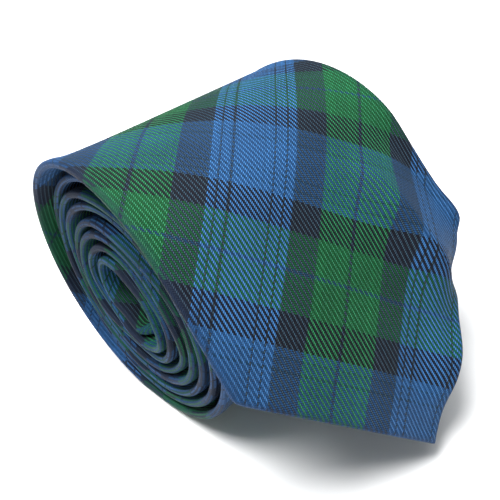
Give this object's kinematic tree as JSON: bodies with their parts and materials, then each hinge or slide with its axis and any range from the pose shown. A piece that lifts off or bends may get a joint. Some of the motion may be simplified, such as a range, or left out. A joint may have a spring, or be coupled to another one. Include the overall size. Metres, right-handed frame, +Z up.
{
  "type": "rolled necktie",
  "caption": "Tartan twill necktie rolled from its narrow end, with its wide pointed blade hanging over the front of the roll.",
  "frame": {"origin": "centre of the bounding box's footprint, on the table that the roll lies on", "axes": "+X along the roll's axis from the near end face to the far one, -Y towards the blade's tip, +Z up"},
  "size_m": [0.088, 0.1136, 0.081],
  "materials": {
    "tartan_cloth": "diagonal twill with a soft sheen, blue, green and near-black tartan",
    "wool_interlining": "napped wool blend",
    "lining_cloth": "smooth satin lining",
    "sewing_thread": "twisted thread",
    "label_satin": "satin ribbon, blank"
  },
  "bodies": {
    "roll": {"blade_shell": "tartan_cloth", "neck_shell": "tartan_cloth", "tail_shell": "tartan_cloth", "keeper_loop": "tartan_cloth", "interlining": "wool_interlining", "blade_tipping": "lining_cloth", "tail_tipping": "lining_cloth", "slip_stitch": "sewing_thread", "blade_bar_tack": "sewing_thread", "tail_bar_tack": "sewing_thread", "label_stitch_left": "sewing_thread", "label_stitch_right": "sewing_thread", "brand_label": "label_satin", "care_label": "label_satin"},
    "blade_end": {"blade_end_shell": "tartan_cloth", "blade_end_interlining": "wool_interlining", "blade_end_tipping": "lining_cloth"}
  },
  "joints": [
    {"name": "blade_end_lift", "type": "hinge", "parent": "roll", "child": "blade_end", "pos_m": [0, -0.01337, 0.06963], "axis": [-1, 0, 0], "range_deg": [0, 90]}
  ]
}
